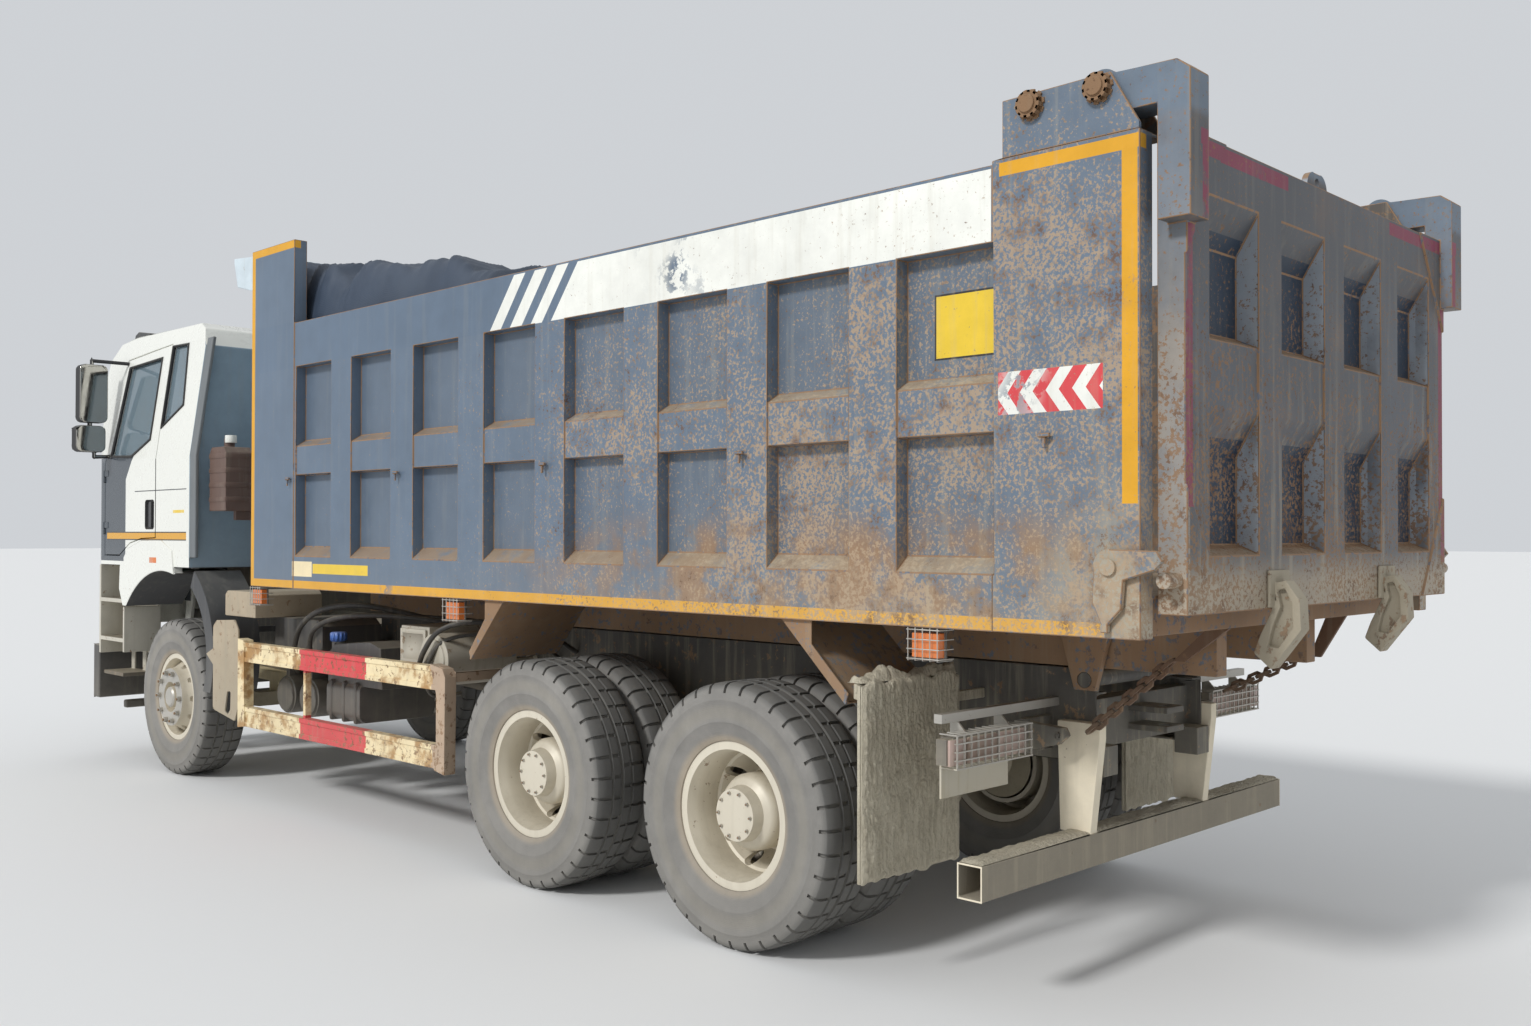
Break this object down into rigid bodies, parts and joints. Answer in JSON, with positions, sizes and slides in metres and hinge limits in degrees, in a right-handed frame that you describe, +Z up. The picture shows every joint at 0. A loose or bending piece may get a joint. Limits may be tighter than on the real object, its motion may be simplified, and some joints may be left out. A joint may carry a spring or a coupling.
{
  "type": "tipper truck",
  "caption": "Six-wheel-drive-layout dump truck with a ribbed steel box body, top-hung tailgate, cab-over cab and front telescopic hoist.",
  "frame": {"origin": "on the ground, under the middle of the truck's length and width", "axes": "+Y towards the tailgate, +X towards the truck's left side, +Z up"},
  "size_m": [2.96, 9.01, 3.4298],
  "materials": {
    "chassis_paint": "dark chassis paint under road dust",
    "axle_iron": "cast iron under dried mud",
    "spring_steel": "dusty spring steel",
    "engine_block": "plain cast block",
    "tank_plastic": "dusty black tank",
    "box_paint": "grey painted boxes",
    "guard_paint": "cream and red guard tubes with rust",
    "guard_plastic": "grey mudguard plastic under mud",
    "lamp_plastic": "orange and red lamp lenses behind wire",
    "underrun_paint": "mud on a square steel tube",
    "bumper_plastic": "dark grey bumper",
    "step_plastic": "pale step box",
    "cab_paint": "white cab paint with a yellow stripe",
    "cab_window": "tinted glass",
    "seat_fabric": "dark seat cloth and dashboard",
    "mirror_plastic": "black mirror housing",
    "bed_steel": "slate paint with rust blooms",
    "bed_white": "white painted headboard",
    "tarp_fabric": "grey coated sheet",
    "gate_steel": "slate paint, worn and rusty",
    "lock_steel": "muddy cast claws",
    "hoist_chrome": "plated hoist stage",
    "hoist_paint": "painted hoist cover",
    "knuckle_iron": "cast knuckle",
    "tyre_rubber": "dusty black rubber",
    "rim_paint": "cream rim paint under dust"
  },
  "bodies": {
    "chassis": {"frame": "chassis_paint", "axles": "axle_iron", "springs": "spring_steel", "powertrain": "engine_block", "tanks": "tank_plastic", "service_boxes": "box_paint", "side_guards": "guard_paint", "mudguards": "guard_plastic", "tail_lamps": "lamp_plastic", "underrun_bar": "underrun_paint", "bumper": "bumper_plastic"},
    "cab": {"cab_shell": "cab_paint", "cab_glass": "cab_window", "cab_interior": "seat_fabric", "steps": "step_plastic"},
    "door_left": {"door_left": "cab_paint", "door_glass_left": "cab_window", "mirror_left": "mirror_plastic"},
    "door_right": {"door_right": "cab_paint", "door_glass_right": "cab_window", "mirror_right": "mirror_plastic"},
    "bed": {"bed_floor": "bed_steel", "bed_side_left": "bed_steel", "bed_side_right": "bed_steel", "headboard": "bed_white", "tarp": "tarp_fabric", "bed_lamps": "lamp_plastic", "mud_hoods": "bed_steel", "lock_chains": "lock_steel"},
    "tailgate": {"tailgate": "gate_steel", "tailgate_locks": "lock_steel"},
    "hoist_rod": {"hoist_rod": "hoist_chrome"},
    "hoist_inner_tube": {"hoist_inner_tube": "hoist_chrome"},
    "hoist_outer_tube": {"hoist_outer_tube": "hoist_chrome"},
    "hoist_cover": {"hoist_cover": "hoist_paint"},
    "knuckle_left": {"knuckle_left": "knuckle_iron"},
    "knuckle_right": {"knuckle_right": "knuckle_iron"},
    "wheel_front_left": {"tyre_front_left": "tyre_rubber", "rim_front_left": "rim_paint"},
    "wheel_front_right": {"tyre_front_right": "tyre_rubber", "rim_front_right": "rim_paint"},
    "wheel_mid_left": {"tyre_mid_left": "tyre_rubber", "rim_mid_left": "rim_paint"},
    "wheel_mid_right": {"tyre_mid_right": "tyre_rubber", "rim_mid_right": "rim_paint"},
    "wheel_rear_left": {"tyre_rear_left": "tyre_rubber", "rim_rear_left": "rim_paint"},
    "wheel_rear_right": {"tyre_rear_right": "tyre_rubber", "rim_rear_right": "rim_paint"}
  },
  "joints": [
    {"name": "cab_tilt", "type": "hinge", "parent": "chassis", "child": "cab", "pos_m": [0, -4.38, 0.88], "axis": [1, 0, 0], "range_deg": [0, 50]},
    {"name": "door_left_swing", "type": "hinge", "parent": "cab", "child": "door_left", "pos_m": [1.237, -4.121, 1.9], "axis": [0, 0, -1], "range_deg": [0, 70]},
    {"name": "door_right_swing", "type": "hinge", "parent": "cab", "child": "door_right", "pos_m": [-1.237, -4.121, 1.9], "axis": [0, 0, 1], "range_deg": [0, 70]},
    {"name": "bed_tip", "type": "hinge", "parent": "chassis", "child": "bed", "pos_m": [0, 3.64, 1.11], "axis": [-1, 0, 0], "range_deg": [0, 48]},
    {"name": "tailgate_swing", "type": "hinge", "parent": "bed", "child": "tailgate", "pos_m": [0, 4.163, 3.07], "axis": [1, 0, 0], "range_deg": [0, 60]},
    {"name": "hoist_lean", "type": "hinge", "parent": "chassis", "child": "hoist_rod", "pos_m": [0, -1.905, 0.93], "axis": [-1, 0, 0], "range_deg": [0, 24.98]},
    {"name": "hoist_inner_slide", "type": "slide", "parent": "hoist_rod", "child": "hoist_inner_tube", "axis": [0, 0, 1], "range_m": [0, 1.48788]},
    {"name": "hoist_outer_slide", "type": "slide", "parent": "hoist_inner_tube", "child": "hoist_outer_tube", "axis": [0, 0, 1], "range_m": [0, 1.48788]},
    {"name": "hoist_cover_slide", "type": "slide", "parent": "hoist_outer_tube", "child": "hoist_cover", "axis": [0, 0, 1], "range_m": [0, 1.48788]},
    {"name": "steer_left", "type": "hinge", "parent": "chassis", "child": "knuckle_left", "pos_m": [0.88, -3.06, 0.535], "axis": [0, 0, 1], "range_deg": [-35, 35]},
    {"name": "steer_right", "type": "hinge", "parent": "chassis", "child": "knuckle_right", "pos_m": [-0.88, -3.06, 0.535], "axis": [0, 0, 1], "range_deg": [-35, 35]},
    {"name": "roll_front_left", "type": "hinge", "parent": "knuckle_left", "child": "wheel_front_left", "pos_m": [1.016, -3.06, 0.535], "axis": [1, 0, 0], "continuous": true},
    {"name": "roll_front_right", "type": "hinge", "parent": "knuckle_right", "child": "wheel_front_right", "pos_m": [-1.016, -3.06, 0.535], "axis": [1, 0, 0], "continuous": true},
    {"name": "roll_mid_left", "type": "hinge", "parent": "chassis", "child": "wheel_mid_left", "pos_m": [0.927, 1.14, 0.535], "axis": [1, 0, 0], "continuous": true},
    {"name": "roll_mid_right", "type": "hinge", "parent": "chassis", "child": "wheel_mid_right", "pos_m": [-0.927, 1.14, 0.535], "axis": [1, 0, 0], "continuous": true},
    {"name": "roll_rear_left", "type": "hinge", "parent": "chassis", "child": "wheel_rear_left", "pos_m": [0.927, 2.49, 0.535], "axis": [1, 0, 0], "continuous": true},
    {"name": "roll_rear_right", "type": "hinge", "parent": "chassis", "child": "wheel_rear_right", "pos_m": [-0.927, 2.49, 0.535], "axis": [1, 0, 0], "continuous": true}
  ],
  "couplings": [
    {"joint": "hoist_lean", "follows": "bed_tip", "ratio": 0.52026},
    {"joint": "hoist_inner_slide", "follows": "bed_tip", "m_per_rad": 1.7754},
    {"joint": "hoist_outer_slide", "follows": "bed_tip", "m_per_rad": 1.7754},
    {"joint": "hoist_cover_slide", "follows": "bed_tip", "m_per_rad": 1.7754},
    {"joint": "steer_right", "follows": "steer_left", "ratio": 1}
  ]
}
